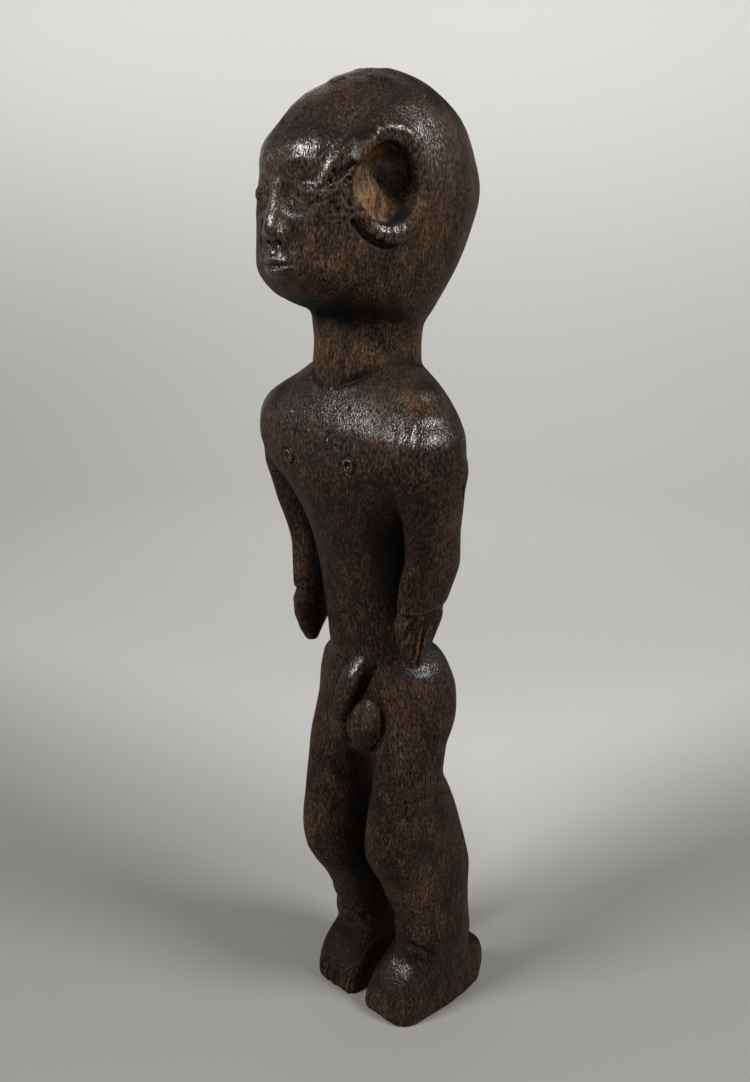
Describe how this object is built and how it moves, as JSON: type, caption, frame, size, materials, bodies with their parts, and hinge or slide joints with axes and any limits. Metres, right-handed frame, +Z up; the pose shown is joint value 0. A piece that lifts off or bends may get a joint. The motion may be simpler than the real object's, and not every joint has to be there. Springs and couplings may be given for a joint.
{
  "type": "carved wooden standing figure",
  "caption": "Standing figure of a man carved from one block of dark hardwood, with a large head, hollowed ears, free arms and bent knees, on its own feet.",
  "frame": {"origin": "on the ground, below the middle of the figure's outline seen from above", "axes": "+Z up along the figure, which faces -Y; +X is the figure's own left side"},
  "size_m": [0.153, 0.1528, 0.6],
  "materials": {
    "dark_wood": "handled patina, half glossy, worn brown on edges and feet"
  },
  "bodies": {
    "root": {"carved_figure": "dark_wood"}
  },
  "joints": []
}
